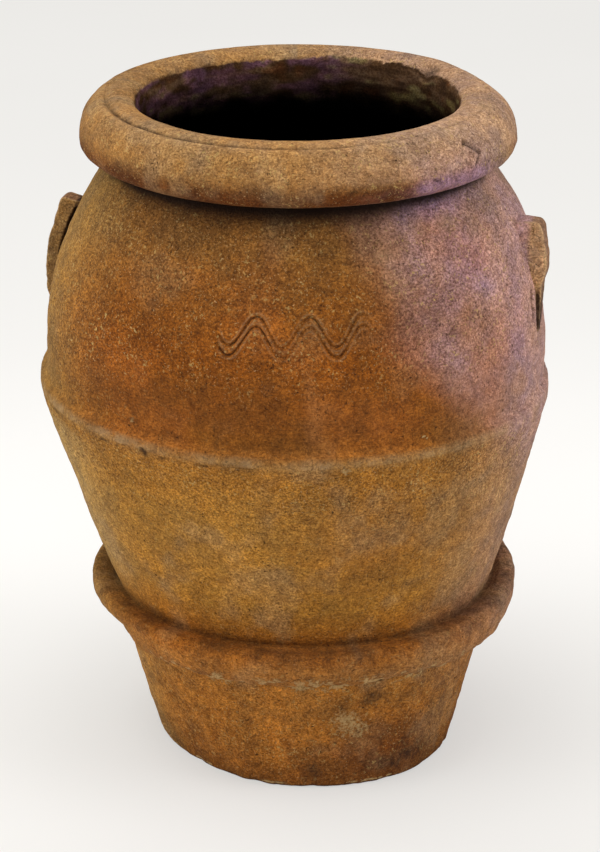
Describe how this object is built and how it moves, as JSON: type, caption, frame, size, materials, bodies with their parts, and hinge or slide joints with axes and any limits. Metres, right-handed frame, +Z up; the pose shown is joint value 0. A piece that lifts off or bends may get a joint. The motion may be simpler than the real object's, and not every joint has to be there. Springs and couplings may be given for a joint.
{
  "type": "amphora",
  "caption": "Wide-mouthed terracotta storage jar on a tapered foot, with a thick rolled rim, a belly ledge, a foot cordon and a strap lug on either side of the shoulder.",
  "frame": {"origin": "centre of the jar's underside, on the floor it stands on", "axes": "+Z up along the jar's axis; the lugs lie on the X axis, the right one at +X; the front faces -Y"},
  "size_m": [0.566, 0.566, 0.75],
  "materials": {
    "foot_clay": "unglazed, matt, gritty, damp-stained",
    "body_clay": "unglazed, matt, gritty",
    "rim_clay": "unglazed, matt, worn smooth on the crest",
    "handle_clay": "unglazed, matt, gritty"
  },
  "bodies": {
    "root": {"floor_slab": "foot_clay", "floor_fillet": "foot_clay", "foot_wall": "foot_clay", "foot_cordon": "foot_clay", "belly_wall": "body_clay", "belly_band": "body_clay", "shoulder_wall": "body_clay", "neck_ring": "rim_clay", "rim_collar": "rim_clay", "left_handle": "handle_clay", "right_handle": "handle_clay"}
  },
  "joints": []
}
